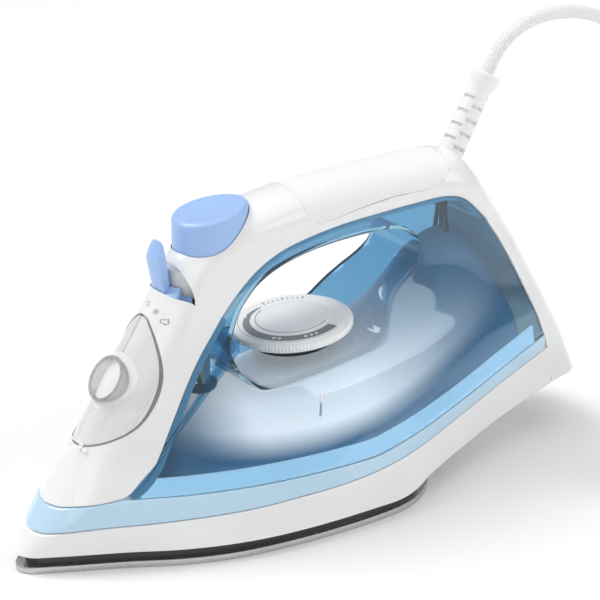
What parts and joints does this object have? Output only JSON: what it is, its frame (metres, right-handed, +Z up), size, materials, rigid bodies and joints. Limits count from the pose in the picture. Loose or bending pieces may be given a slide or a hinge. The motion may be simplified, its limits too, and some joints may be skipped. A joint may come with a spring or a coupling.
{
  "type": "steam iron",
  "caption": "Steam iron with a see-through blue tank, open handle, temperature dial, steam lever, spray button, clear filler door and swivelling cord bush.",
  "frame": {"origin": "on the floor under the middle of the iron's own box, cord left out", "axes": "+Z up, +X from the tip to the heel, Y across; the iron is the same on both sides"},
  "size_m": [0.4393, 0.1877, 0.2084],
  "materials": {
    "sole": "satin",
    "casting": "rough cast",
    "steel": "satin",
    "dark_metal": "matt",
    "ceramic": "matt",
    "brass": "satin",
    "charcoal": "satin",
    "white": "gloss",
    "tank": "clear tinted",
    "seal": "matt",
    "mark": "print",
    "grip": "fine texture",
    "clear": "clear",
    "grey": "satin",
    "hose": "satin",
    "blue": "satin",
    "dial_print": "print",
    "bush": "satin",
    "wire": "satin",
    "cord": "braided",
    "plug": "satin"
  },
  "bodies": {
    "iron": {"soleplate": "sole", "steam_chamber": "casting", "chamber_cover": "steel", "chamber_screws": "steel", "heating_element": "dark_metal", "element_terminals": "ceramic", "thermostat": "ceramic", "thermal_fuse": "brass", "heat_shield": "charcoal", "base_plate": "white", "base_screws": "steel", "skirt": "white", "tank_shell": "tank", "tank_neck": "tank", "grip_liner": "tank", "tank_back": "tank", "tank_seal": "seal", "inner_dome": "white", "tank_lid": "white", "level_mark": "mark", "handle_housing": "white", "grip_top": "grip", "rear_cover": "white", "rear_screws": "steel", "funnel": "white", "filler_pipe": "white", "door_pin": "steel", "nozzle_base": "grey", "nozzle_ring": "clear", "nozzle_core": "grey", "spray_hose": "hose", "spray_pump": "white", "suction_hose": "hose", "lever_guide": "grey", "valve_tube": "charcoal", "dial_collar": "charcoal", "bush_socket": "grey", "terminal_block": "white", "lead_wires": "wire"},
    "door": {"door": "clear", "door_knuckle": "clear"},
    "button": {"button": "blue", "pump_piston": "white", "pump_spring": "steel"},
    "steam_lever": {"steam_lever": "blue"},
    "dosing_rod": {"dosing_rod": "brass"},
    "dial": {"dial": "grey", "dial_shaft": "white", "dial_arc": "dial_print", "dial_dots": "mark"},
    "cord_swivel": {"bush_ball": "white", "cord_bush": "bush", "cord": "cord", "cord_coil": "cord", "cord_tie": "seal", "cord_lead": "cord", "plug_body": "plug", "plug_pins": "steel"}
  },
  "joints": [
    {"name": "dial_turn", "type": "hinge", "parent": "iron", "child": "dial", "pos_m": [-0.006, 0, 0.084], "axis": [-0.1045, 0, 0.9945], "range_deg": [0, 250]},
    {"name": "lever_turn", "type": "hinge", "parent": "iron", "child": "steam_lever", "pos_m": [-0.0595, 0, 0.108], "axis": [0, 0, 1], "range_deg": [-18, 18]},
    {"name": "dosing_lift", "type": "slide", "parent": "iron", "child": "dosing_rod", "axis": [0, 0, 1], "range_m": [-0.0012, 0.0012]},
    {"name": "button_press", "type": "slide", "parent": "iron", "child": "button", "axis": [0, 0, -1], "range_m": [0, 0.004], "stiffness_N_per_m": 900, "springref_m": -0.003, "deforming": ["pump_spring"]},
    {"name": "door_swing", "type": "hinge", "parent": "iron", "child": "door", "pos_m": [-0.1208, 0, 0.0512], "axis": [0, -1, 0], "range_deg": [0, 70]},
    {"name": "cord_turn", "type": "hinge", "parent": "iron", "child": "cord_swivel", "pos_m": [0.0818, 0, 0.138], "axis": [0, 0, 1], "range_deg": [-30, 30]}
  ],
  "couplings": [
    {"joint": "dosing_lift", "follows": "lever_turn", "m_per_rad": 0.0038}
  ]
}
